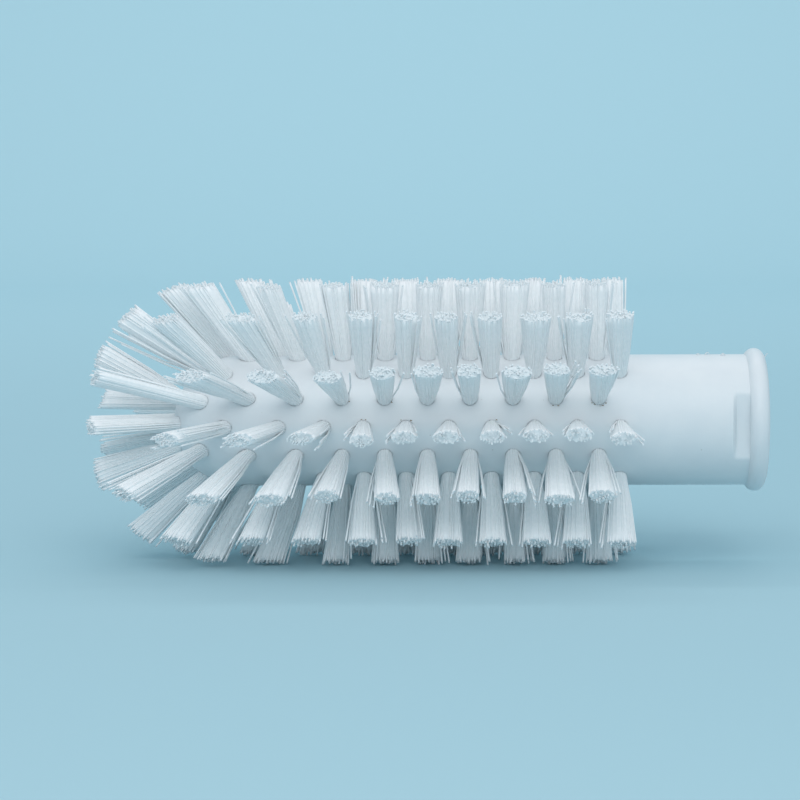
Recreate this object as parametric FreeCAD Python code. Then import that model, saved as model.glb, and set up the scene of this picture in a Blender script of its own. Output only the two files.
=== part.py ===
"""Valve brush head, for scrubbing the inside of valves and pipes.

A bullet-nosed core of white polypropylene carries rings of filament tufts. Each tuft is folded over a flat
wire anchor and pressed into a blind hole. The far end of the core is a plain neck with two spanner flats, a
rounded bead and a socket for a handle.

Millimetres. The x axis is the axis of the brush and points out of the socket, the origin is the middle of
the socket's mouth, and the brush lies on two rows of tufts with +Z up and one flat towards -Y.
"""

import FreeCAD, Part
import math
import os

# Core
CORE_DIAMETER = 41.3
CORE_LENGTH = 186.6
BEAD_DIAMETER = 45.2
BEAD_WIDTH = 6.0
BEAD_EDGE = 0.5  # from the core's surface in to the flat end face
BEAD_BANDS = 6  # straight bands that make up the bead's round outline

# Handle socket
SOCKET_DIAMETER = 28.0
SOCKET_DEPTH = 40.0
SOCKET_CHAMFER = 1.0
SOCKET_END_WALL = 3.9  # between the socket and the first tuft holes

# Spanner flats
ACROSS_FLATS = 36.0
FLAT_WIDTH = 4.8  # from the bead's foot along the neck

# Tuft holes
HOLE_DIAMETER = 4.8
HOLE_DEPTH = 8.5
HOLE_WALL = 0.5  # least wall between two holes, in the nose

# Tufting pattern: every ring has half of the rows, and neighbouring rings take the other half
ROWS = 14
RING_PITCH = 6.65
# Rings that lean towards the nose: how many ring pitches each is from the dome, and its lean in degrees
LEANING_RINGS = [(5.0, 8.0), (4.13, 12.0), (2.83, 20.0), (2.0, 23.0), (0.54, 34.0)]
# Rings on the dome: how far round the dome each is drilled, and its lean, both in degrees
DOME_RINGS = [(10.2, 37.0), (31.7, 56.0)]
END_RING_TUFTS = 5
END_RING_LEAN = 74.0

# Tufts, trimmed to a cylinder and a rounded nose
BRUSH_DIAMETER = 90.0
NOSE_TUFT_LENGTH = 27.2  # from the point of the core to the trimmed tips
NOSE_FULLNESS = 2.4  # power of the trimmed nose's outline, where 2 would be an ellipse
TRIM_ACCURACY = 0.001
TUFT_CLEARANCE = 0.1
TIP_HALF_LENGTH = 4.0  # along the brush
TIP_HALF_WIDTH = 2.1  # round the brush

# Anchors
ANCHOR_HEIGHT = 1.8
ANCHOR_THICKNESS = 0.5

CORE_RADIUS = CORE_DIAMETER / 2
HOLE_RADIUS = HOLE_DIAMETER / 2
CORNER_RATIO = 1 / math.cos(math.pi / 6)  # a hexagon's radius over its corners and over its flats
DOME_CENTRE = CORE_RADIUS - CORE_LENGTH
BRUSH_RADIUS = BRUSH_DIAMETER / 2
NOSE_REACH = CORE_RADIUS + NOSE_TUFT_LENGTH
FIRST_RING = SOCKET_DEPTH + SOCKET_END_WALL + HOLE_RADIUS
ROW_ANGLE = 2 * math.pi / ROWS
ALONG = FreeCAD.Vector(1, 0, 0)


class Seat:
    """Where one tuft is set: the middle of its hole's mouth and the three directions of the hole."""

    def __init__(self, station, radius, angle, lean):
        outward = FreeCAD.Vector(0, -math.cos(angle), math.sin(angle))
        self.mouth = ALONG * station + outward * radius
        self.out = outward * math.cos(lean) - ALONG * math.sin(lean)
        self.lengthways = ALONG * math.cos(lean) + outward * math.sin(lean)
        self.across = self.out.cross(self.lengthways)

    def point(self, lengthways, across, height):
        return self.mouth + self.lengthways * lengthways + self.across * across + self.out * height


def closed_solid(lower, upper):
    """Solid with flat faces between two outlines that have the same number of corners."""
    faces = [Part.Face(Part.makePolygon(outline + outline[:1])) for outline in (lower, upper)]
    for i in range(len(lower)):
        side = [lower[i - 1], lower[i], upper[i], upper[i - 1]]
        faces.append(Part.Face(Part.makePolygon(side + side[:1])))
    solid = Part.Solid(Part.Shell(faces))
    if solid.Volume < 0:
        solid.reverse()
    return solid


def core_blank():
    """The core as it is turned: dome, body, neck, bead and socket, as one revolved outline."""
    socket_radius = SOCKET_DIAMETER / 2
    end_face_radius = CORE_RADIUS - BEAD_EDGE

    def at(x, radius):
        return FreeCAD.Vector(x, radius, 0)

    tip = at(-CORE_LENGTH, 0)
    dome_foot = at(DOME_CENTRE, CORE_RADIUS)
    dome_middle = at(
        DOME_CENTRE - CORE_RADIUS * math.sin(math.pi / 4), CORE_RADIUS * math.cos(math.pi / 4)
    )
    bead_foot = at(-BEAD_WIDTH, CORE_RADIUS)
    bead_top = at(-BEAD_WIDTH / 2, BEAD_DIAMETER / 2)
    bead_end = at(0, end_face_radius)
    bead = Part.Arc(bead_foot, bead_top, bead_end).toShape().discretize(BEAD_BANDS + 1)
    mouth = at(0, socket_radius + SOCKET_CHAMFER)
    socket_edge = at(-SOCKET_CHAMFER, socket_radius)
    socket_corner = at(-SOCKET_DEPTH, socket_radius)
    socket_middle = at(-SOCKET_DEPTH, 0)
    outline = Part.Wire(
        [
            Part.Arc(tip, dome_middle, dome_foot).toShape(),
            Part.makeLine(dome_foot, bead_foot),
            *[Part.makeLine(start, end) for start, end in zip(bead, bead[1:])],
            Part.makeLine(bead_end, mouth),
            Part.makeLine(mouth, socket_edge),
            Part.makeLine(socket_edge, socket_corner),
            Part.makeLine(socket_corner, socket_middle),
            Part.makeLine(socket_middle, tip),
        ]
    )
    return Part.Face(outline).revolve(FreeCAD.Vector(0, 0, 0), ALONG, 360)


def spanner_flat(side):
    """The block that is milled away behind the bead to leave one flat, on the side of +Y or -Y."""
    depth = BEAD_DIAMETER / 2
    block = Part.makeBox(FLAT_WIDTH, depth, BEAD_DIAMETER)
    start = ACROSS_FLATS / 2 if side > 0 else -ACROSS_FLATS / 2 - depth
    block.translate(FreeCAD.Vector(-BEAD_WIDTH - FLAT_WIDTH, start, -BEAD_DIAMETER / 2))
    return block


def section(seat, half_length, half_width, height):
    """Six-sided section of a hole or a tuft, with its corners at 120 degrees whatever its length."""
    shoulder = half_length - half_width * CORNER_RATIO / 2
    corners = [
        (half_length, 0),
        (shoulder, half_width),
        (-shoulder, half_width),
        (-half_length, 0),
        (-shoulder, -half_width),
        (shoulder, -half_width),
    ]
    return [seat.point(u, v, height) for u, v in corners]


def hole(seat):
    """The drilled hole, which is open past the core's surface."""
    corner = HOLE_RADIUS * CORNER_RATIO
    bottom = section(seat, corner, HOLE_RADIUS, -HOLE_DEPTH)
    top = section(seat, corner, HOLE_RADIUS, HOLE_DIAMETER)
    return closed_solid(bottom, top)


def trim_shares(point):
    """How far a point is on its way ahead to the end of the trimmed nose, and out to the trimmed cylinder."""
    ahead = max(DOME_CENTRE - point.x, 0) / NOSE_REACH
    return ahead, math.hypot(point.y, point.z) / BRUSH_RADIUS


def free_length(seat):
    """Length of a tuft out of its hole, and the way that its trimmed tip faces.

    The trimmed outline is the brush's cylinder, closed by a nose that is fuller than half an ellipsoid.
    """
    inside, outside = 0.0, BRUSH_DIAMETER
    while outside - inside > TRIM_ACCURACY:
        length = (inside + outside) / 2
        ahead, aside = trim_shares(seat.point(0, 0, length))
        if ahead ** NOSE_FULLNESS + aside ** NOSE_FULLNESS > 1:
            outside = length
        else:
            inside = length
    tip = seat.point(0, 0, length)
    ahead, aside = trim_shares(tip)
    sideways = aside ** (NOSE_FULLNESS - 2) / BRUSH_RADIUS ** 2
    facing = FreeCAD.Vector(-(ahead ** (NOSE_FULLNESS - 1)) / NOSE_REACH, tip.y * sideways, tip.z * sideways)
    return length, facing


def tuft(seat):
    """One bundle, from the top of its anchor, out through its hole's mouth, to its trimmed tip."""
    length, facing = free_length(seat)
    foot = ANCHOR_HEIGHT - HOLE_DEPTH
    mouth_width = HOLE_RADIUS - TUFT_CLEARANCE
    mouth_length = mouth_width * CORNER_RATIO
    spread = (TIP_HALF_LENGTH - mouth_length) / length
    lower = section(seat, mouth_length + spread * foot, mouth_width, foot)
    level = section(seat, TIP_HALF_LENGTH, TIP_HALF_WIDTH, length)
    tip = seat.point(0, 0, length)
    trimmed = []
    for low, high in zip(lower, level):
        strand = high - low
        trimmed.append(low + strand * ((tip - low).dot(facing) / strand.dot(facing)))
    return closed_solid(lower, trimmed)


def anchor(seat):
    """The flat wire at the bottom of a hole, set across the brush, so that its tuft fans lengthways."""
    half_length = ANCHOR_THICKNESS / 2
    half_width = HOLE_RADIUS - TUFT_CLEARANCE

    def outline(height):
        return [
            seat.point(u, v, height)
            for u, v in (
                (half_length, half_width),
                (-half_length, half_width),
                (-half_length, -half_width),
                (half_length, -half_width),
            )
        ]

    return closed_solid(outline(-HOLE_DEPTH), outline(ANCHOR_HEIGHT - HOLE_DEPTH))


def ring_places():
    """Station, radius and lean of each full ring, from the neck to the nose."""
    places = []
    station = -FIRST_RING
    first_leaning = DOME_CENTRE + LEANING_RINGS[0][0] * RING_PITCH
    while station > first_leaning + RING_PITCH / 2:
        places.append((station, CORE_RADIUS, 0.0))
        station -= RING_PITCH
    for pitches, lean in LEANING_RINGS:
        places.append((DOME_CENTRE + pitches * RING_PITCH, CORE_RADIUS, math.radians(lean)))
    for round_dome, lean in DOME_RINGS:
        turn = math.radians(round_dome)
        places.append(
            (
                DOME_CENTRE - CORE_RADIUS * math.sin(turn),
                CORE_RADIUS * math.cos(turn),
                math.radians(lean),
            )
        )
    return places


def ring_seats(index, station, radius, lean):
    """Seats of one ring, on the even rows or on the odd ones."""
    return [Seat(station, radius, row * ROW_ANGLE, lean) for row in range(index % 2, ROWS, 2)]


def nose_seats():
    """Seats of the ring round the point of the nose, which clears the middle hole, and of that hole."""
    lean = math.radians(END_RING_LEAN)
    radius = HOLE_DIAMETER * CORNER_RATIO + HOLE_WALL + HOLE_DEPTH * math.cos(lean)
    station = DOME_CENTRE - math.sqrt(CORE_RADIUS ** 2 - radius ** 2)
    step = 2 * math.pi / END_RING_TUFTS
    seats = [Seat(station, radius, i * step, lean) for i in range(END_RING_TUFTS)]
    seats.append(Seat(-CORE_LENGTH, 0.0, 0.0, math.pi / 2))
    return seats


def save(name, shape):
    shape.exportStep("parts/" + name + ".step")


os.makedirs("parts", exist_ok=True)

groups = {}
for number, place in enumerate(ring_places()):
    groups["tuft_ring_%02d" % (number + 1)] = ring_seats(number, *place)
groups["nose_tufts"] = nose_seats()
every_seat = [seat for seats in groups.values() for seat in seats]

core = core_blank().cut([spanner_flat(1), spanner_flat(-1)] + [hole(seat) for seat in every_seat])
save("brush_core", core)
save("tuft_anchors", Part.makeCompound([anchor(seat) for seat in every_seat]))
for name, seats in groups.items():
    save(name, Part.makeCompound([tuft(seat) for seat in seats]))

print("tufts", len(every_seat), "core volume", round(core.Volume), "valid", core.isValid())
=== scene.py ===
import math
import random

import bpy
from mathutils import Matrix, Vector


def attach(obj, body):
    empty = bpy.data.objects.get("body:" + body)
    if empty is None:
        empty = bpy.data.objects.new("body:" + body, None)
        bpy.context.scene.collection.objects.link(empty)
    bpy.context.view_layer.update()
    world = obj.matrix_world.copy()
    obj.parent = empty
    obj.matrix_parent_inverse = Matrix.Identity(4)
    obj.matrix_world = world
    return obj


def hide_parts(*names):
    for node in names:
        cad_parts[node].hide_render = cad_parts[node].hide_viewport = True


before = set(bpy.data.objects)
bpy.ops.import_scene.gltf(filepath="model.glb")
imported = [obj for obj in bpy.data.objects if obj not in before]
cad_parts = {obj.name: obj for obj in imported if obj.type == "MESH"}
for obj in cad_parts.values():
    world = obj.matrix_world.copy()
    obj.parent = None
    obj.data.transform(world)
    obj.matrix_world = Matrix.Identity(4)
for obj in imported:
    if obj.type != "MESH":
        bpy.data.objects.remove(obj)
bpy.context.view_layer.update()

# Core
# A bar of natural white polypropylene, turned to a bullet nose, a plain neck and a beaded end, bored for a
# handle, milled with two spanner flats and then drilled for the tufts.

MM = 0.001  # sizes are in millimetres, and meshes, lamps and patterns in metres
TURNING_PITCH = 0.55  # the real feed marks are about 0.2 apart, too fine to show
SCRATCH_GAP = 0.9
MOTTLE = 14.0
SPECK_GAP = 7.0
SPECK_EDGE = (0.012, 0.035)  # of that gap, from the middle of a speck to where it has faded
WAVE_TURNS = 20 / (2 * math.pi)  # bands in a unit of length of the wave texture at scale 1


def linear(code):
    """Linear colour of an sRGB hex value."""
    channels = [int(code[i:i + 2], 16) / 255 for i in (0, 2, 4)]
    return [c / 12.92 if c <= 0.04045 else ((c + 0.055) / 1.055) ** 2.4 for c in channels] + [1.0]


def add(tree, kind, values=None, links=None, **settings):
    """Adds a node with its settings, the values of its sockets and the links that reach them."""
    made = tree.nodes.new(kind)
    for name, value in settings.items():
        setattr(made, name, value)
    for name, value in (values or {}).items():
        made.inputs[name].default_value = value
    for name, source in (links or {}).items():
        tree.links.new(source, made.inputs[name])
    return made


def new_finish(name):
    """A new material with an empty node tree."""
    material = bpy.data.materials.new(name)
    material.use_nodes = True
    material.node_tree.nodes.clear()
    return material, material.node_tree


# Polypropylene, turned: waxy white, a little translucent, satin where the tool left fine rings, and marked
# by handling with short scratches along the bar and a few grey specks.
turned_polypropylene, tree = new_finish("turned_polypropylene")
place = add(tree, "ShaderNodeTexCoord").outputs["Object"]
mottle = add(
    tree,
    "ShaderNodeTexNoise",
    {"Scale": 1 / (MOTTLE * MM), "Detail": 3.0, "Roughness": 0.6},
    {"Vector": place},
)
white = add(tree, "ShaderNodeValToRGB", links={"Fac": mottle.outputs["Fac"]})
white.color_ramp.elements[0].position = 0.35
white.color_ramp.elements[0].color = linear("E0E5E8")
white.color_ramp.elements[1].position = 0.68
white.color_ramp.elements[1].color = linear("E5E9EB")
specks = add(
    tree, "ShaderNodeTexVoronoi", {"Scale": 1 / (SPECK_GAP * MM), "Randomness": 1.0}, {"Vector": place}
)
speck = add(
    tree,
    "ShaderNodeMapRange",
    {"From Min": SPECK_EDGE[0], "From Max": SPECK_EDGE[1], "To Min": 0.55, "To Max": 0.0},
    {"Value": specks.outputs["Distance"]},
)
# A Mix node's sockets share their names and go by number: 0 is the share of the second colour, 6 and 7 are
# the two colours, and output 2 is the mixed one.
speckled = add(
    tree,
    "ShaderNodeMix",
    {7: linear("A49E93")},
    {0: speck.outputs["Result"], 6: white.outputs["Color"]},
    data_type="RGBA",
)
rings = add(
    tree,
    "ShaderNodeTexWave",
    {
        "Scale": 1 / (TURNING_PITCH * MM * WAVE_TURNS),
        "Distortion": 1.2,
        "Detail": 2.0,
        "Detail Scale": 0.4,
    },
    {"Vector": place},
    bands_direction="X",
)
stretched = add(
    tree,
    "ShaderNodeMapping",
    {"Scale": (0.05, 1.0, 1.0), "Rotation": (0.0, 0.12, 0.3)},
    {"Vector": place},
)
scratches = add(
    tree,
    "ShaderNodeTexNoise",
    {"Scale": 1 / (SCRATCH_GAP * MM), "Detail": 2.0, "Roughness": 0.7},
    {"Vector": stretched.outputs["Vector"]},
)
scratch = add(
    tree,
    "ShaderNodeMapRange",
    {"From Min": 0.66, "From Max": 0.74, "To Min": 0.0, "To Max": 1.0},
    {"Value": scratches.outputs["Fac"]},
)
rough = add(
    tree,
    "ShaderNodeMapRange",
    {"From Min": 0.3, "From Max": 0.7, "To Min": 0.4, "To Max": 0.5},
    {"Value": mottle.outputs["Fac"]},
)
ring_bump = add(
    tree,
    "ShaderNodeBump",
    {"Strength": 0.12, "Distance": 0.02 * MM},
    {"Height": rings.outputs["Fac"]},
)
scratch_bump = add(
    tree,
    "ShaderNodeBump",
    {"Strength": 0.5, "Distance": 0.03 * MM},
    {"Height": scratch.outputs["Result"], "Normal": ring_bump.outputs["Normal"]},
    invert=True,
)
plastic = add(
    tree,
    "ShaderNodeBsdfPrincipled",
    {
        "IOR": 1.49,
        "Subsurface Weight": 0.15,
        "Subsurface Radius": (1.0, 1.0, 1.0),
        "Subsurface Scale": 2.0 * MM,
        "Specular IOR Level": 0.45,
    },
    {
        "Base Color": speckled.outputs[2],
        "Roughness": rough.outputs["Result"],
        "Normal": scratch_bump.outputs["Normal"],
    },
)
add(tree, "ShaderNodeOutputMaterial", links={"Surface": plastic.outputs["BSDF"]})

CORE_RADIUS = 20.65
CORE_LENGTH = 186.6
DOME_CENTRE = CORE_RADIUS - CORE_LENGTH
BEAD_RADIUS = 22.6
BEAD_WIDTH = 6.0
BEAD_EDGE = 0.5
SOCKET_RADIUS = 14.0
SOCKET_DEPTH = 40.0
SOCKET_CHAMFER = 1.0
HALF_ACROSS_FLATS = 18.0
FLAT_START = -10.8
FLAT_END = -6.0
FLAT_EDGE = 0.8  # how softly the milling cutter's edge shows at the flat's end
HOLE_RADIUS = 2.4
HOLE_DEPTH = 8.5
RIM_RADIUS = 2.6
RIM_TOP = 0.05  # over the middle of the hole's mouth
DRILL_TOP = 4.8  # clear of the core all round
EDGE_BREAK = 0.1
SOCKET_CORNER = 0.4
LATHE_SIDES = 180
HOLE_SIDES = 32
DOME_STEPS = 36
BEAD_STEPS = 20
NECK_STEP = 1.4  # between two rings of corners
FLAT_STEP = 0.15
SOCKET_STEP = 2.0
EDGE_HOLD = 0.2  # from an edge to the next ring of corners, which keeps its shading crisp
SHARP_ANGLE = math.radians(38)

ROWS = 14
FIRST_RING = 46.3
RING_PITCH = 6.65
STRAIGHT_RINGS = 13
# Rings that lean towards the nose: how many ring pitches each is from the dome, and its lean in degrees.
LEANING_RINGS = [(5.0, 8.0), (4.13, 12.0), (2.83, 20.0), (2.0, 23.0), (0.54, 34.0)]
# Rings on the dome: how far round it each is drilled, and its lean, both in degrees.
DOME_RINGS = [(10.2, 37.0), (31.7, 56.0)]
END_RING = (-184.82, 8.39, 74.0)  # station, radius and lean in degrees
END_RING_TUFTS = 5

ALONG = Vector((1, 0, 0))


def steps(first, last, size):
    """Even steps from one number to another, with the last left out."""
    count = max(round(abs(last - first) / size), 1)
    return [first + (last - first) * i / count for i in range(count)]


def bead_outline():
    """The rounded bead as an arc through its foot, its crown and the edge of the end face."""
    half = BEAD_WIDTH / 2
    rise = BEAD_RADIUS - CORE_RADIUS
    # The arc is a little flatter than one from foot to foot, because it ends lower, at the face.
    round_radius = (half ** 2 + rise ** 2) / (2 * rise) + BEAD_EDGE / 4
    middle = BEAD_RADIUS - round_radius
    start = math.acos((CORE_RADIUS - middle) / round_radius)
    end = math.acos((CORE_RADIUS - BEAD_EDGE - middle) / round_radius)
    turns = [-start + (start + end) * i / BEAD_STEPS for i in range(BEAD_STEPS + 1)]
    low, high = math.sin(turns[0]), math.sin(turns[-1])
    outline = []
    for turn in turns:
        share = (math.sin(turn) - low) / (high - low)
        outline.append((-BEAD_WIDTH + BEAD_WIDTH * share, middle + round_radius * math.cos(turn)))
    return outline


def core_outline():
    """Stations and radii of the turned outline, from the point of the nose to the bottom of the socket."""
    outline = [(-CORE_LENGTH, 0.0)]
    for i in range(1, DOME_STEPS):
        a = math.pi / 2 * i / DOME_STEPS
        outline.append((DOME_CENTRE - CORE_RADIUS * math.cos(a), CORE_RADIUS * math.sin(a)))
    near_flat = FLAT_START - 2 * FLAT_EDGE
    outline += [(x, CORE_RADIUS) for x in steps(DOME_CENTRE, near_flat, NECK_STEP)]
    outline += [(x, CORE_RADIUS) for x in steps(near_flat, FLAT_END, FLAT_STEP)]
    outline += bead_outline()
    face = CORE_RADIUS - BEAD_EDGE
    lip = SOCKET_RADIUS + SOCKET_CHAMFER
    outline += [(0.0, face - EDGE_HOLD), (0.0, (face + lip) / 2), (0.0, lip + EDGE_BREAK)]
    outline += [(-EDGE_BREAK, lip - EDGE_BREAK), (-SOCKET_CHAMFER, SOCKET_RADIUS)]
    outline += [(-SOCKET_CHAMFER - EDGE_HOLD, SOCKET_RADIUS)]
    bottom = -SOCKET_DEPTH
    near_corner = bottom + SOCKET_CORNER + EDGE_HOLD
    outline += [(x, SOCKET_RADIUS) for x in steps(-SOCKET_STEP, near_corner, SOCKET_STEP)]
    outline += [(bottom + SOCKET_CORNER, SOCKET_RADIUS), (bottom + EDGE_BREAK, SOCKET_RADIUS - EDGE_BREAK)]
    outline += [(bottom, SOCKET_RADIUS - SOCKET_CORNER), (bottom, SOCKET_RADIUS / 2), (bottom, 0.0)]
    return outline


def milled(corner):
    """Moves a corner of the neck in to the spanner flats, which end softly towards the nose."""
    x, y, z = corner
    in_socket = math.hypot(y, z) < SOCKET_RADIUS + SOCKET_CHAMFER
    if in_socket or not FLAT_START - FLAT_EDGE <= x <= FLAT_END:
        return corner
    depth = min(max((x - FLAT_START + FLAT_EDGE) / (2 * FLAT_EDGE), 0), 1)
    depth *= depth * (3 - 2 * depth)
    if abs(y) > HALF_ACROSS_FLATS:
        y += (math.copysign(HALF_ACROSS_FLATS, y) - y) * depth
    return (x, y, z)


def turned(outline):
    """Corners and faces of an outline turned round the brush's axis, closed by a fan at each end."""
    corners = [(outline[0][0], 0.0, 0.0)]
    for x, radius in outline[1:-1]:
        for i in range(LATHE_SIDES):
            a = 2 * math.pi * i / LATHE_SIDES
            corners.append(milled((x, -radius * math.cos(a), radius * math.sin(a))))
    corners.append((outline[-1][0], 0.0, 0.0))
    faces = []
    last = 1 + (len(outline) - 3) * LATHE_SIDES
    for i in range(LATHE_SIDES):
        j = (i + 1) % LATHE_SIDES
        faces.append((0, 1 + i, 1 + j))
        for low in range(1, last, LATHE_SIDES):
            high = low + LATHE_SIDES
            faces.append((low + i, high + i, high + j, low + j))
        faces.append((last + i, len(corners) - 1, last + j))
    return corners, faces


def on_core(station, turn, radius):
    """A point at a radius round the brush's axis, and the way out there."""
    outward = Vector((0, -math.cos(turn), math.sin(turn)))
    return ALONG * station + outward * radius, outward


def place_of_seat(station, radius, turn, lean):
    """Middle of a hole's mouth, and the ways out of it, lengthways and across."""
    mouth, outward = on_core(station, turn, radius)
    out = outward * math.cos(lean) - ALONG * math.sin(lean)
    lengthways = ALONG * math.cos(lean) + outward * math.sin(lean)
    return mouth, out, lengthways, out.cross(lengthways)


def drill(corners, faces, seat):
    """Adds the round drill that cuts one hole and breaks the edge of its mouth."""
    mouth, out, lengthways, across = seat
    first = len(corners)
    stations = [
        (-HOLE_DEPTH, HOLE_RADIUS),
        (HOLE_RADIUS - RIM_RADIUS, HOLE_RADIUS),
        (RIM_TOP, RIM_RADIUS),
        (DRILL_TOP, RIM_RADIUS),
    ]
    for height, radius in stations:
        for i in range(HOLE_SIDES):
            a = 2 * math.pi * i / HOLE_SIDES
            side = (lengthways * math.cos(a) + across * math.sin(a)) * radius
            corners.append(mouth + side + out * height)
    last = len(corners) - HOLE_SIDES
    faces.append(tuple(range(first, first + HOLE_SIDES)))
    for low in range(first, last, HOLE_SIDES):
        high = low + HOLE_SIDES
        for i in range(HOLE_SIDES):
            j = (i + 1) % HOLE_SIDES
            faces.append((low + j, low + i, high + i, high + j))
    faces.append(tuple(reversed(range(last, len(corners)))))


def body_from(name, corners, faces):
    """A mesh object from corners in millimetres."""
    data = bpy.data.meshes.new(name)
    data.from_pydata([Vector(corner) * MM for corner in corners], [], faces)
    data.update()
    body = bpy.data.objects.new(name, data)
    bpy.context.scene.collection.objects.link(body)
    return body


rings_of_tufts = [(-FIRST_RING - RING_PITCH * i, CORE_RADIUS, 0.0) for i in range(STRAIGHT_RINGS)]
for pitches, lean in LEANING_RINGS:
    rings_of_tufts.append((DOME_CENTRE + pitches * RING_PITCH, CORE_RADIUS, lean))
for round_dome, lean in DOME_RINGS:
    turn = math.radians(round_dome)
    rings_of_tufts.append((DOME_CENTRE - CORE_RADIUS * math.sin(turn), CORE_RADIUS * math.cos(turn), lean))

# Where each tuft is set, by CAD node and row.
seats = {}
for ring, (station, radius, lean) in enumerate(rings_of_tufts):
    for row in range(ring % 2, ROWS, 2):
        turn = row * 2 * math.pi / ROWS
        seat = place_of_seat(station, radius, turn, math.radians(lean))
        seats["tuft_ring_%02d" % (ring + 1), row] = seat
station, radius, lean = END_RING
for row in range(END_RING_TUFTS):
    turn = row * 2 * math.pi / END_RING_TUFTS
    seats["nose_tufts", row] = place_of_seat(station, radius, turn, math.radians(lean))
seats["nose_tufts", END_RING_TUFTS] = place_of_seat(-CORE_LENGTH, 0.0, 0.0, math.pi / 2)

core = body_from("turned_core", *turned(core_outline()))
drills = ([], [])
for seat in seats.values():
    drill(*drills, seat)
bits = body_from("drills", *drills)
drilling = core.modifiers.new("drilling", "BOOLEAN")
drilling.operation = "DIFFERENCE"
drilling.solver = "MANIFOLD"
drilling.object = bits
bpy.context.view_layer.update()
drilled = bpy.data.meshes.new_from_object(core.evaluated_get(bpy.context.evaluated_depsgraph_get()))
core.modifiers.clear()
core.data = drilled
bpy.data.objects.remove(bits)
core.data.materials.clear()
core.data.materials.append(turned_polypropylene)
core.data.shade_smooth()
core.data.set_sharp_from_angle(angle=SHARP_ANGLE)
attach(core, "root")
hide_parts("brush_core")

# Swarf
# Short whiskers of polypropylene that the turning tool and the drill left on the neck and the bead. They
# weren't brushed off and still hang where they were cut.

WHISKER = 0.4
WHISKER_SECTION = [(-0.7, -0.35), (0.7, -0.35), (0.7, 0.35), (-0.7, 0.35)]  # in widths, flat as it was cut
WHISKER_TAPER = 0.5
WHISKER_FOOT = 0.1  # how deep its foot sits in the core
WHISKER_STEPS = 8
# Station, radius and turn in degrees of each one's foot, then its rise, its run along the brush and the
# half turns that it makes.
WHISKERS = [
    (-18.7, CORE_RADIUS, 88.0, 0.8, 1.7, 1.0),
    (-13.8, CORE_RADIUS, 84.0, 0.75, 1.5, 1.0),
    (-21.5, CORE_RADIUS, 87.0, 0.5, 1.4, 1.0),
    (-0.25, CORE_RADIUS - 1.3, 85.0, 1.9, 1.3, 0.5),
]


def add_tube(faces, first, sides, rings):
    """Adds the faces of a closed tube, whose corners lie in rings that follow each other."""
    last = first + (rings - 1) * sides
    for low in range(first, last, sides):
        high = low + sides
        for i in range(sides):
            j = (i + 1) % sides
            faces.append((low + i, low + j, high + j, high + i))
    faces.append(tuple(first + i for i in reversed(range(sides))))
    faces.append(tuple(last + i for i in range(sides)))


corners, faces = [], []
for station, radius, turn, rise, run, half_turns in WHISKERS:
    foot, outward = on_core(station, math.radians(turn), radius - WHISKER_FOOT)
    across = outward.cross(ALONG)
    first = len(corners)
    for k in range(WHISKER_STEPS + 1):
        share = k / WHISKER_STEPS
        bend = math.pi * half_turns * share
        middle = foot + outward * rise * math.sin(bend) + ALONG * run * share
        slope = math.pi * half_turns * rise * math.cos(bend)
        side = (outward * run - ALONG * slope).normalized()
        width = WHISKER * (1 - WHISKER_TAPER * share)
        corners += [middle + (across * u + side * v) * width for u, v in WHISKER_SECTION]
    add_tube(faces, first, len(WHISKER_SECTION), WHISKER_STEPS + 1)
swarf = body_from("swarf", corners, faces)
swarf.data.materials.append(turned_polypropylene)
swarf.data.shade_smooth()
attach(swarf, "root")

# Grime and painted shade
# Brown crumbs between the rim and the tuft of a few holes: dirt that use has pressed there and dried as
# small crumbs, and painted shade where shade falls in those gaps. They cling to the core and follow its
# curve.

# Station, turn in degrees, half length and half width of each crumb.
CRUMBS_AND_PAINTED_SHADE = [
    (-126.6, 7.1, 0.26, 0.18),
    (-125.3, 7.0, 0.24, 0.16),
    (-114.3, 6.6, 0.22, 0.16),
    (-111.2, 6.3, 0.36, 0.2),
    (-84.7, 6.6, 0.3, 0.18),
    (-130.4, 23.0, 0.26, 0.2),
    (-117.2, 22.2, 0.3, 0.2),
    (-67.2, 18.9, 0.26, 0.16),
    (-65.6, 18.7, 0.3, 0.16),
    (-55.1, 21.2, 0.2, 0.15),
    (-54.3, 19.6, 0.36, 0.1),
    (-52.6, 18.5, 0.16, 0.1),
    (-51.8, 18.8, 0.42, 0.16),
    (-50.8, 20.9, 0.26, 0.2),
]
CRUST_LAYERS = [(1.0, -0.45), (1.0, -0.01), (0.6, 0.04)]  # share of the width, and height over the core
CRUST_LOBING = 0.25
CRUST_RAGGEDNESS = 0.12
CRUST_SIDES = 12
CRUST_SEED = 5
GRIT = 0.4

# Dried dirt, and painted shade in the gaps at those rims: matt, and mottled in two browns.
dirt_and_painted_gap_shade, tree = new_finish("dirt_and_painted_gap_shade")
place = add(tree, "ShaderNodeTexCoord").outputs["Object"]
grain = add(tree, "ShaderNodeTexNoise", {"Scale": 1 / (GRIT * MM), "Detail": 3.0}, {"Vector": place})
dirt_and_shade_browns = add(tree, "ShaderNodeValToRGB", links={"Fac": grain.outputs["Fac"]})
dirt_and_shade_browns.color_ramp.elements[0].position = 0.35
dirt_and_shade_browns.color_ramp.elements[0].color = linear("76664F")
dirt_and_shade_browns.color_ramp.elements[1].position = 0.7
dirt_and_shade_browns.color_ramp.elements[1].color = linear("A8987F")
dirt_and_shade_finish = add(
    tree,
    "ShaderNodeBsdfPrincipled",
    {"Roughness": 0.95, "IOR": 1.5},
    {"Base Color": dirt_and_shade_browns.outputs["Color"]},
)
add(tree, "ShaderNodeOutputMaterial", links={"Surface": dirt_and_shade_finish.outputs["BSDF"]})

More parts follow.
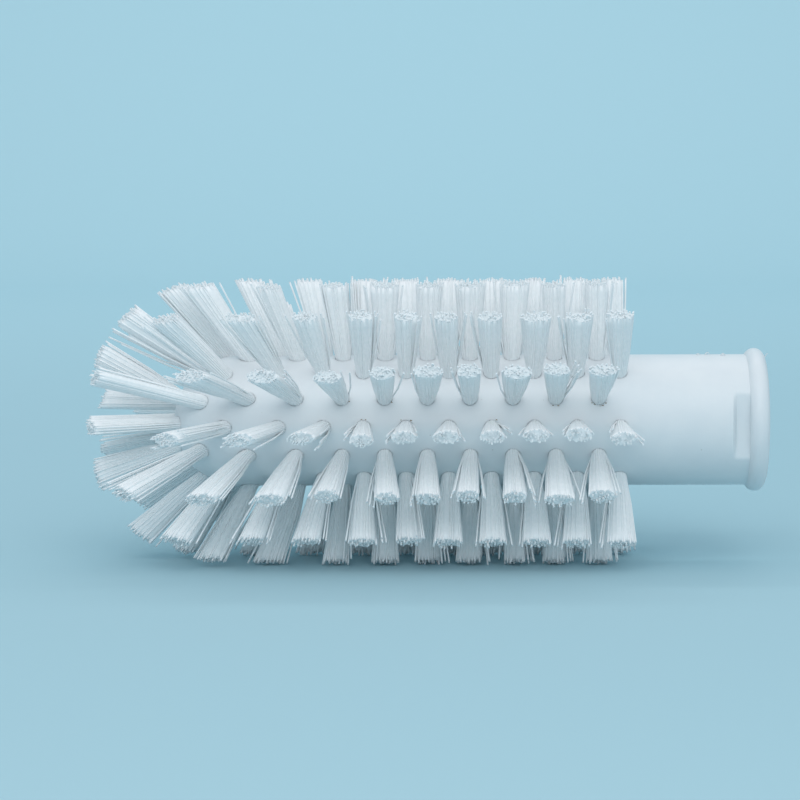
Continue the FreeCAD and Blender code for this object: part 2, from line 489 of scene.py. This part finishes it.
corners, faces = [], []
draw = random.Random(CRUST_SEED)
for station, turn, half_length, half_width in CRUMBS_AND_PAINTED_SHADE:
    first = len(corners)
    for share, height in CRUST_LAYERS:
        for i in range(CRUST_SIDES):
            a = 2 * math.pi * i / CRUST_SIDES
            ragged = draw.uniform(-CRUST_RAGGEDNESS, CRUST_RAGGEDNESS)
            rim = share * (1 + CRUST_LOBING * math.sin(3 * a + station) + ragged)
            forward = half_length * rim * math.cos(a)
            bend = half_width * rim * math.sin(a) / CORE_RADIUS
            point, _ = on_core(station + forward, math.radians(turn) + bend, CORE_RADIUS + height)
            corners.append(point)
    add_tube(faces, first, CRUST_SIDES, len(CRUST_LAYERS))
# Dirt and painted shade: these brown crumbs sit where shade falls in the gaps at the holes' rims.
grime_and_painted_gap_shade = body_from("grime_and_painted_gap_shade", corners, faces)
grime_and_painted_gap_shade.data.materials.append(dirt_and_painted_gap_shade)
grime_and_painted_gap_shade.data.shade_smooth()
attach(grime_and_painted_gap_shade, "root")

# Anchors
# A flat steel wire, cut off and driven across the bottom of each hole, holds the fold of its tuft. The
# anchors are hidden in the core, so they keep their CAD meshes.

WIRE_GRAIN = 0.15

# Stainless steel, drawn flat: grey and satin, with the fine unevenness that drawing leaves.
drawn_steel, tree = new_finish("drawn_stainless_steel")
place = add(tree, "ShaderNodeTexCoord").outputs["Object"]
wire_grain = add(
    tree, "ShaderNodeTexNoise", {"Scale": 1 / (WIRE_GRAIN * MM), "Detail": 2.0}, {"Vector": place}
)
steel_rough = add(
    tree,
    "ShaderNodeMapRange",
    {"To Min": 0.25, "To Max": 0.42},
    {"Value": wire_grain.outputs["Fac"]},
)
steel = add(
    tree,
    "ShaderNodeBsdfPrincipled",
    {"Base Color": linear("B4B6B8"), "Metallic": 1.0},
    {"Roughness": steel_rough.outputs["Result"]},
)
add(tree, "ShaderNodeOutputMaterial", links={"Surface": steel.outputs["BSDF"]})

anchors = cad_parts["tuft_anchors"]
anchors.data.materials.clear()
anchors.data.materials.append(drawn_steel)

# Tufts
# Each is a bundle of polyester filament, folded over its anchor, pressed into its hole and trimmed on the
# finished brush. It leaves the hole round and fans out along the brush, and a few filaments stand off.

BRUSH_RADIUS = 45.0
NOSE_REACH = 47.85  # from the dome's centre to the trimmed tips
NOSE_FULLNESS = 2.4  # power of the trimmed nose's outline, where 2 would be an ellipse
TRIM_ACCURACY = 0.002
FILAMENT = 0.58
FILAMENT_SIDES = 6
BUNDLE_LAYERS = [(2.07, 24), (1.5, 17), (0.95, 11), (0.4, 4)]  # radius and number of filaments
PLACE_JITTER = 0.3  # of the gap between two neighbours in a layer
LAYER_JITTER = 0.03
FOOT = -6.7  # top of the anchor, from the hole's mouth
FOOT_PRESS = (0.9, 0.95)  # of the bundle's width, along the brush and across it, on top of the anchor
TIP_LENGTH = 3.75  # half of a trimmed tip along the brush, to the middle of the outer filaments
TIP_LENGTH_RANGE = (0.92, 1.18)
TIP_WIDTH = 1.9
TIP_WIDTH_RANGE = (0.95, 1.1)
TIP_WANDER = 0.05
BEND = 0.4  # of the way from the hole to the cut end, where a filament bends
BELL = 0.12  # of its spread, by which a filament stands further out there than a straight one
TUFT_SWAY = 1.2  # degrees
STRAY_GROUPS = 3  # at most, in one tuft
STRAYS_TOGETHER = (1, 1, 2, 3)
STRAY_PUSH = (0.4, 2.9)
STRAY_PUSH_RANGE = (0.85, 1.15)  # within a group
STRAY_FAN = 26.0  # degrees about the brush's length, along which most of them stand off
TRIM_UNEVENNESS = 0.4
CUT_SLANT = 0.3  # most rise of the cut end in a millimetre across the filament
CUT_BAND = 0.5  # length of the end that the knife crushed
HEART_SIDES = 20
HEART_SHARE = 1.05  # of the bundle's width, to which the inner filaments are pressed into one mass
HEART_SHORT = 0.6  # from the end of that mass to the cut ends
LOOSE_LENGTH = 2.6  # over which the outer filaments come apart from it
LOOSE_SHARE = 0.9  # of its width, which is left at its end
INNER_LENGTH = HEART_SHORT + 3 * CUT_BAND  # of an inner filament, the rest of which is in that mass
DRAWN, CUT = 0, 1  # places of the two finishes on a piece
MILK_GRAIN = 1.1  # about two filaments, so that neighbours differ a little
CRUSH_GRAIN = 0.25
TIP_GLOW_START = 0.92  # of the way out to the trimmed outline

# Polyester monofilament, drawn: milky and smooth. Over the last few millimetres its colour is whitened with
# painted light, which stands in for the light that enters the cut ends and spreads back along the bundle.
drawn_polyester, tree = new_finish("drawn_polyester_filament")
place = add(tree, "ShaderNodeTexCoord").outputs["Object"]
milk = add(tree, "ShaderNodeTexNoise", {"Scale": 1 / (MILK_GRAIN * MM), "Detail": 1.0}, {"Vector": place})
milky = add(tree, "ShaderNodeValToRGB", links={"Fac": milk.outputs["Fac"]})
milky.color_ramp.elements[0].position = 0.3
milky.color_ramp.elements[0].color = linear("EFF3F4")
milky.color_ramp.elements[1].position = 0.7
milky.color_ramp.elements[1].color = linear("F5F7F8")
# Outness is the trimmed outline's own formula: 1 on the outline, where the filaments end, and less inside.
spot = add(tree, "ShaderNodeSeparateXYZ", links={"Vector": place})
ahead = add(
    tree,
    "ShaderNodeMapRange",
    {"From Min": DOME_CENTRE * MM, "From Max": (DOME_CENTRE - NOSE_REACH) * MM},
    {"Value": spot.outputs["X"]},
)
across_only = (0.0, 1 / (BRUSH_RADIUS * MM), 1 / (BRUSH_RADIUS * MM))
radial = add(tree, "ShaderNodeMapping", {"Scale": across_only}, {"Vector": place})
aside = add(tree, "ShaderNodeVectorMath", links={0: radial.outputs["Vector"]}, operation="LENGTH")
ahead_power = add(
    tree, "ShaderNodeMath", {1: NOSE_FULLNESS}, {0: ahead.outputs["Result"]}, operation="POWER"
)
aside_power = add(
    tree, "ShaderNodeMath", {1: NOSE_FULLNESS}, {0: aside.outputs["Value"]}, operation="POWER"
)
outness = add(
    tree,
    "ShaderNodeMath",
    links={0: ahead_power.outputs[0], 1: aside_power.outputs[0]},
    operation="ADD",
)
painted_light_share = add(
    tree,
    "ShaderNodeMapRange",
    {"From Min": TIP_GLOW_START ** NOSE_FULLNESS, "From Max": 1.0},
    {"Value": outness.outputs[0]},
)
# Painted light: the base colour whitens towards the cut ends.
painted_tip_light = add(
    tree,
    "ShaderNodeMix",
    {7: linear("FCFDFE")},
    {0: painted_light_share.outputs["Result"], 6: milky.outputs["Color"]},
    data_type="RGBA",
)
polyester = add(
    tree,
    "ShaderNodeBsdfPrincipled",
    {
        "Roughness": 0.4,
        "IOR": 1.57,
        "Specular IOR Level": 0.3,
    },
    {"Base Color": painted_tip_light.outputs[2]},
)
add(tree, "ShaderNodeOutputMaterial", links={"Surface": polyester.outputs["BSDF"]})

# The same filament where the trimming knife crushed it: frosted and matt, with painted shade that makes the
# cut ends greyer than the sides.
cut_polyester, tree = new_finish("cut_polyester_end")
place = add(tree, "ShaderNodeTexCoord").outputs["Object"]
crush = add(tree, "ShaderNodeTexNoise", {"Scale": 1 / (CRUSH_GRAIN * MM), "Detail": 2.0}, {"Vector": place})
crush_mottle_and_painted_shade = add(tree, "ShaderNodeValToRGB", links={"Fac": crush.outputs["Fac"]})
# Painted shade: both colours of the cut ends are greyer than the sides' colours, so that their lit faces
# look darker.
crush_mottle_and_painted_shade.color_ramp.elements[0].position = 0.25
crush_mottle_and_painted_shade.color_ramp.elements[0].color = linear("DEE6E9")
crush_mottle_and_painted_shade.color_ramp.elements[1].position = 0.6
crush_mottle_and_painted_shade.color_ramp.elements[1].color = linear("EAEFF1")
frosted = add(
    tree,
    "ShaderNodeBsdfPrincipled",
    {"Roughness": 0.75, "IOR": 1.57},
    {"Base Color": crush_mottle_and_painted_shade.outputs["Color"]},
)
add(tree, "ShaderNodeOutputMaterial", links={"Surface": frosted.outputs["BSDF"]})


def trimmed_length(start, way):
    """How far a point goes along a way to the trimmed outline, a cylinder with a full round nose."""
    inside, outside = 0.0, 2 * BRUSH_RADIUS
    while outside - inside > TRIM_ACCURACY:
        length = (inside + outside) / 2
        point = start + way * length
        ahead = max(DOME_CENTRE - point.x, 0) / NOSE_REACH
        aside = math.hypot(point.y, point.z) / BRUSH_RADIUS
        if ahead ** NOSE_FULLNESS + aside ** NOSE_FULLNESS > 1:
            outside = length
        else:
            inside = length
    return length


def add_filament(mesh, stations, sideways, across, draw):
    """Adds one filament, a tube through its stations. Its last band and its end are the cut ones."""
    corners, faces, kinds = mesh
    first = len(corners)
    turn = draw.uniform(0, 2 * math.pi / FILAMENT_SIDES)
    slant = draw.uniform(-CUT_SLANT, CUT_SLANT), draw.uniform(-CUT_SLANT, CUT_SLANT)
    way = (stations[-1] - stations[-2]).normalized()
    for k, middle in enumerate(stations):
        for i in range(FILAMENT_SIDES):
            a = turn + 2 * math.pi * i / FILAMENT_SIDES
            u, v = FILAMENT / 2 * math.cos(a), FILAMENT / 2 * math.sin(a)
            corner = middle + sideways * u + across * v
            if k == len(stations) - 1:
                corner += way * (slant[0] * u + slant[1] * v)
            corners.append(corner)
    add_tube(faces, first, FILAMENT_SIDES, len(stations))
    kinds += [DRAWN] * FILAMENT_SIDES * (len(stations) - 2) + [CUT] * FILAMENT_SIDES + [DRAWN, CUT]


def add_heart(mesh, bundle, fan, squeeze, course):
    """Adds the inner filaments of one tuft as the single mass that they are pressed into."""
    corners, faces, kinds = mesh
    first = len(corners)
    edges = []
    for i in range(HEART_SIDES):
        a = 2 * math.pi * i / HEART_SIDES
        u, v = HEART_SHARE * bundle * math.cos(a), HEART_SHARE * bundle * math.sin(a)
        foot, root, middle, end, way = course(u, v, u * fan, v * squeeze)
        loose = end - way * LOOSE_LENGTH
        u, v = u * LOOSE_SHARE, v * LOOSE_SHARE
        *_, end, way = course(u, v, u * fan, v * squeeze)
        edges.append((foot, root, middle, loose, end - way * HEART_SHORT))
    for ring in zip(*edges):
        corners.extend(ring)
    rings = len(edges[0])
    add_tube(faces, first, HEART_SIDES, rings)
    kinds += [DRAWN] * HEART_SIDES * (rings - 1) + [DRAWN, CUT]


def add_tuft(mesh, seat, nod, swing, own_strays, draw):
    """Adds one tuft. Nod bends it towards the nose as it leaves its hole, and swing bends it sideways."""
    mouth, out, sideways, across = seat
    leaning = (out - sideways * math.tan(nod) + across * math.tan(swing)).normalized()
    length = trimmed_length(mouth, leaning)
    bundle, outer_count = BUNDLE_LAYERS[0]
    fan = TIP_LENGTH * draw.uniform(*TIP_LENGTH_RANGE) / bundle
    squeeze = TIP_WIDTH * draw.uniform(*TIP_WIDTH_RANGE) / bundle

    def course(u, v, tip_u, tip_v):
        """A filament's foot, where it leaves the hole, bends and is cut, and the way that it ends in."""
        foot = mouth + out * FOOT + sideways * u * FOOT_PRESS[0] + across * v * FOOT_PRESS[1]
        root = mouth + sideways * u + across * v
        tip = mouth + leaning * length + sideways * tip_u + across * tip_v
        way = (tip - root).normalized()
        end = root + way * trimmed_length(root, way)
        middle = root.lerp(end, BEND) + (sideways * (tip_u - u) + across * (tip_v - v)) * BELL
        return foot, root, middle, end, (end - middle).normalized()

    starts = [draw.uniform(0, 2 * math.pi) for _ in BUNDLE_LAYERS]
    groups = list(own_strays)
    for _ in range(draw.randint(1, STRAY_GROUPS)):
        side = draw.choice((0, 180)) + draw.gauss(0, STRAY_FAN)
        groups.append((side, draw.uniform(*STRAY_PUSH), draw.choice(STRAYS_TOGETHER)))
    pushes = {}
    for side, push, together in groups:
        first = round((math.radians(side) - starts[0]) / (2 * math.pi) * outer_count)
        for i in range(together):
            pushes[0, (first + i) % outer_count] = push * draw.uniform(*STRAY_PUSH_RANGE)
    for layer, (radius, count) in enumerate(BUNDLE_LAYERS):
        for i in range(count):
            a = starts[layer] + 2 * math.pi * (i + draw.uniform(-PLACE_JITTER, PLACE_JITTER)) / count
            here = radius + draw.gauss(0, LAYER_JITTER)
            push = pushes.get((layer, i), 0.0)
            b = a + draw.gauss(0, TIP_WANDER)
            there = here * (1 + draw.gauss(0, TIP_WANDER))
            tip_u = (there * fan + push) * math.cos(b)
            tip_v = (there * squeeze + push) * math.sin(b)
            foot, root, middle, end, way = course(here * math.cos(a), here * math.sin(a), tip_u, tip_v)
            end += way * draw.gauss(0, TRIM_UNEVENNESS)
            near_end = end - way * CUT_BAND
            if layer == 0:
                stations = [foot, root, middle, near_end, end]
            else:
                stations = [end - way * INNER_LENGTH, near_end, end]
            add_filament(mesh, stations, sideways, across, draw)
    add_heart(mesh, bundle, fan, squeeze, course)


def make_filaments(node, tufts):
    """One piece of all the filaments that a CAD node stands for."""
    corners, faces, kinds = mesh = [], [], []
    for tuft in tufts:
        add_tuft(mesh, *tuft)
    piece = body_from(node + "_filaments", corners, faces)
    piece.data.materials.append(drawn_polyester)
    piece.data.materials.append(cut_polyester)
    piece.data.polygons.foreach_set("material_index", kinds)
    piece.data.polygons.foreach_set("use_smooth", [len(face) == 4 for face in faces])
    piece.data.update()
    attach(piece, "root")
    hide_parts(node)


# The tufts near the nose stand as they do in the photograph: nod and swing in degrees, by node and row.
OWN_LEANS = {
    ("tuft_ring_14", 1): (0, -4),
    ("tuft_ring_14", 13): (2, 2),
    ("tuft_ring_15", 0): (1, -1),
    ("tuft_ring_15", 2): (0, 1),
    ("tuft_ring_15", 12): (0, 2),
    ("tuft_ring_16", 1): (0, -3),
    ("tuft_ring_16", 13): (-4, -1),
    ("tuft_ring_17", 0): (0, -2),
    ("tuft_ring_17", 2): (1, 0),
    ("tuft_ring_17", 12): (-5, 3),
    ("tuft_ring_18", 1): (0, -2),
    ("tuft_ring_18", 3): (0, 6),
    ("tuft_ring_18", 11): (-7, 8),
    ("tuft_ring_18", 13): (-6, -1),
    ("tuft_ring_19", 0): (-2, -2),
    ("tuft_ring_19", 2): (2, 5),
    ("tuft_ring_19", 4): (2, -12),
    ("tuft_ring_19", 10): (-3, 8),
    ("tuft_ring_19", 12): (-4, -5),
    ("tuft_ring_20", 1): (29, 14),
    ("tuft_ring_20", 3): (1, 9),
    ("tuft_ring_20", 9): (-6, 4),
    ("tuft_ring_20", 11): (-7, -14),
    ("tuft_ring_20", 13): (-1, -10),
    ("nose_tufts", 0): (-5, 0),
    ("nose_tufts", 1): (-12, 5),
    ("nose_tufts", 2): (-3, 13),
    ("nose_tufts", 3): (-8, -1),
    ("nose_tufts", 4): (-2, -8),
}

# So do their strays that show most: side in degrees from the neck's side, push and number together.
OWN_STRAYS = {
    ("tuft_ring_15", 0): [(-60, 2.6, 2)],
    ("tuft_ring_17", 12): [(180, 1.3, 2)],
    ("tuft_ring_18", 3): [(0, 2.1, 1)],
    ("tuft_ring_18", 11): [(180, 1.0, 1)],
    ("tuft_ring_18", 13): [(0, 4.8, 1)],
    ("tuft_ring_19", 2): [(125, 4.2, 2)],
    ("tuft_ring_20", 3): [(180, 4.2, 2)],
    ("tuft_ring_20", 11): [(180, 1.1, 1)],
    ("tuft_ring_20", 13): [(0, 2.2, 2)],
    ("nose_tufts", 1): [(0, 1.0, 2)],
}

tufts_of = {}
for number, ((node, row), seat) in enumerate(seats.items()):
    draw = random.Random(number)
    swayed = draw.gauss(0, TUFT_SWAY), draw.gauss(0, TUFT_SWAY)
    nod, swing = OWN_LEANS.get((node, row), swayed)
    own_strays = OWN_STRAYS.get((node, row), [])
    tuft = (seat, math.radians(nod), math.radians(swing), own_strays, draw)
    tufts_of.setdefault(node, []).append(tuft)
for node, tufts in tufts_of.items():
    make_filaments(node, tufts)

# Studio
# The brush lies on a plain pale sheet that sweeps up behind it. A bright room lights most of it, one large
# soft lamp over the camera adds a little from the front, and one more lights the sheet behind.

FLOOR = -44.85  # a little under the CAD's lowest point, because the filaments' ends are uneven
SHEET_HALF_WIDTH = 7000.0
SHEET_FRONT = -7000.0
SWEEP_START = 1300.0
SWEEP_RADIUS = 600.0
SHEET_TOP = 2600.0
SWEEP_STEPS = 24
PAPER_GRAIN = 2.0  # the real fibres are about 0.1 apart, too fine to show
PAPER = "ABCDD7"
AIR = "E6F0F8"
AIR_STRENGTH = 0.82

# Seamless background paper, calendered: matt, pale and without a pattern.
studio_paper, tree = new_finish("studio_paper")
place = add(tree, "ShaderNodeTexCoord").outputs["Object"]
fibre = add(tree, "ShaderNodeTexNoise", {"Scale": 1 / (PAPER_GRAIN * MM), "Detail": 2.0}, {"Vector": place})
paper_bump = add(
    tree, "ShaderNodeBump", {"Strength": 0.1, "Distance": 0.05 * MM}, {"Height": fibre.outputs["Fac"]}
)
paper = add(
    tree,
    "ShaderNodeBsdfPrincipled",
    {"Base Color": linear(PAPER), "Roughness": 0.9, "Specular IOR Level": 0.2},
    {"Normal": paper_bump.outputs["Normal"]},
)
add(tree, "ShaderNodeOutputMaterial", links={"Surface": paper.outputs["BSDF"]})

profile = [(SHEET_FRONT, FLOOR), (SWEEP_START, FLOOR)]
for i in range(1, SWEEP_STEPS + 1):
    a = math.pi / 2 * i / SWEEP_STEPS
    profile.append((SWEEP_START + SWEEP_RADIUS * math.sin(a), FLOOR + SWEEP_RADIUS * (1 - math.cos(a))))
profile.append((SWEEP_START + SWEEP_RADIUS, SHEET_TOP))
corners = [(x, y, z) for y, z in profile for x in (-SHEET_HALF_WIDTH, SHEET_HALF_WIDTH)]
faces = [(2 * i, 2 * i + 1, 2 * i + 3, 2 * i + 2) for i in range(len(profile) - 1)]
sheet = body_from("studio_sheet", corners, faces)
sheet.data.materials.append(studio_paper)
sheet.data.shade_smooth()

world = bpy.data.worlds.new("studio_air")
bpy.context.scene.world = world
world.use_nodes = True
tree = world.node_tree
tree.nodes.clear()
air = add(tree, "ShaderNodeBackground", {"Color": linear(AIR), "Strength": AIR_STRENGTH})
add(tree, "ShaderNodeOutputWorld", links={"Surface": air.outputs["Background"]})


def hang_lamp(name, place, aim, size, watts):
    """A soft oblong lamp, hung at one place and turned to another."""
    data = bpy.data.lights.new(name, "AREA")
    data.shape = "RECTANGLE"
    data.size, data.size_y = size[0] * MM, size[1] * MM
    data.energy = watts
    lamp = bpy.data.objects.new(name, data)
    lamp.location = Vector(place) * MM
    lamp.rotation_euler = (Vector(aim) - Vector(place)).to_track_quat("-Z", "Y").to_euler()
    bpy.context.scene.collection.objects.link(lamp)


hang_lamp("front_softbox", place=(-110, -760, 700), aim=(-110, 0, 0), size=(1000, 700), watts=3.5)
hang_lamp("backdrop_lamp", place=(-110, 900, 1500), aim=(-110, 1900, 400), size=(1600, 500), watts=10.0)

# The camera stands a little above the brush and square to it, with a long lens.
FOCAL_LENGTH = 126.7
SENSOR = 36.0
CAMERA_TARGET = Vector((-115.0, 0.0, 6.45))
CAMERA_DISTANCE = 893.05
CAMERA_REACH = 20000.0
CAMERA_AZIMUTH = math.radians(1.13)
CAMERA_HEIGHT = math.radians(6.1)
CAMERA_ROLL = math.radians(-0.28)

back = Vector(
    (
        math.sin(CAMERA_AZIMUTH) * math.cos(CAMERA_HEIGHT),
        -math.cos(CAMERA_AZIMUTH) * math.cos(CAMERA_HEIGHT),
        math.sin(CAMERA_HEIGHT),
    )
)
level = Vector((math.cos(CAMERA_AZIMUTH), math.sin(CAMERA_AZIMUTH), 0.0))
up = back.cross(level)
right = level * math.cos(CAMERA_ROLL) + up * math.sin(CAMERA_ROLL)
top = up * math.cos(CAMERA_ROLL) - level * math.sin(CAMERA_ROLL)
lens = bpy.data.cameras.new("camera")
lens.lens = FOCAL_LENGTH
lens.sensor_width = SENSOR
lens.clip_end = CAMERA_REACH * MM
camera = bpy.data.objects.new("camera", lens)
stand = Matrix((right, top, back)).transposed().to_4x4()
stand.translation = (CAMERA_TARGET + back * CAMERA_DISTANCE) * MM
camera.matrix_world = stand
bpy.context.scene.collection.objects.link(camera)
bpy.context.scene.camera = camera
bpy.context.scene.view_settings.view_transform = "Standard"
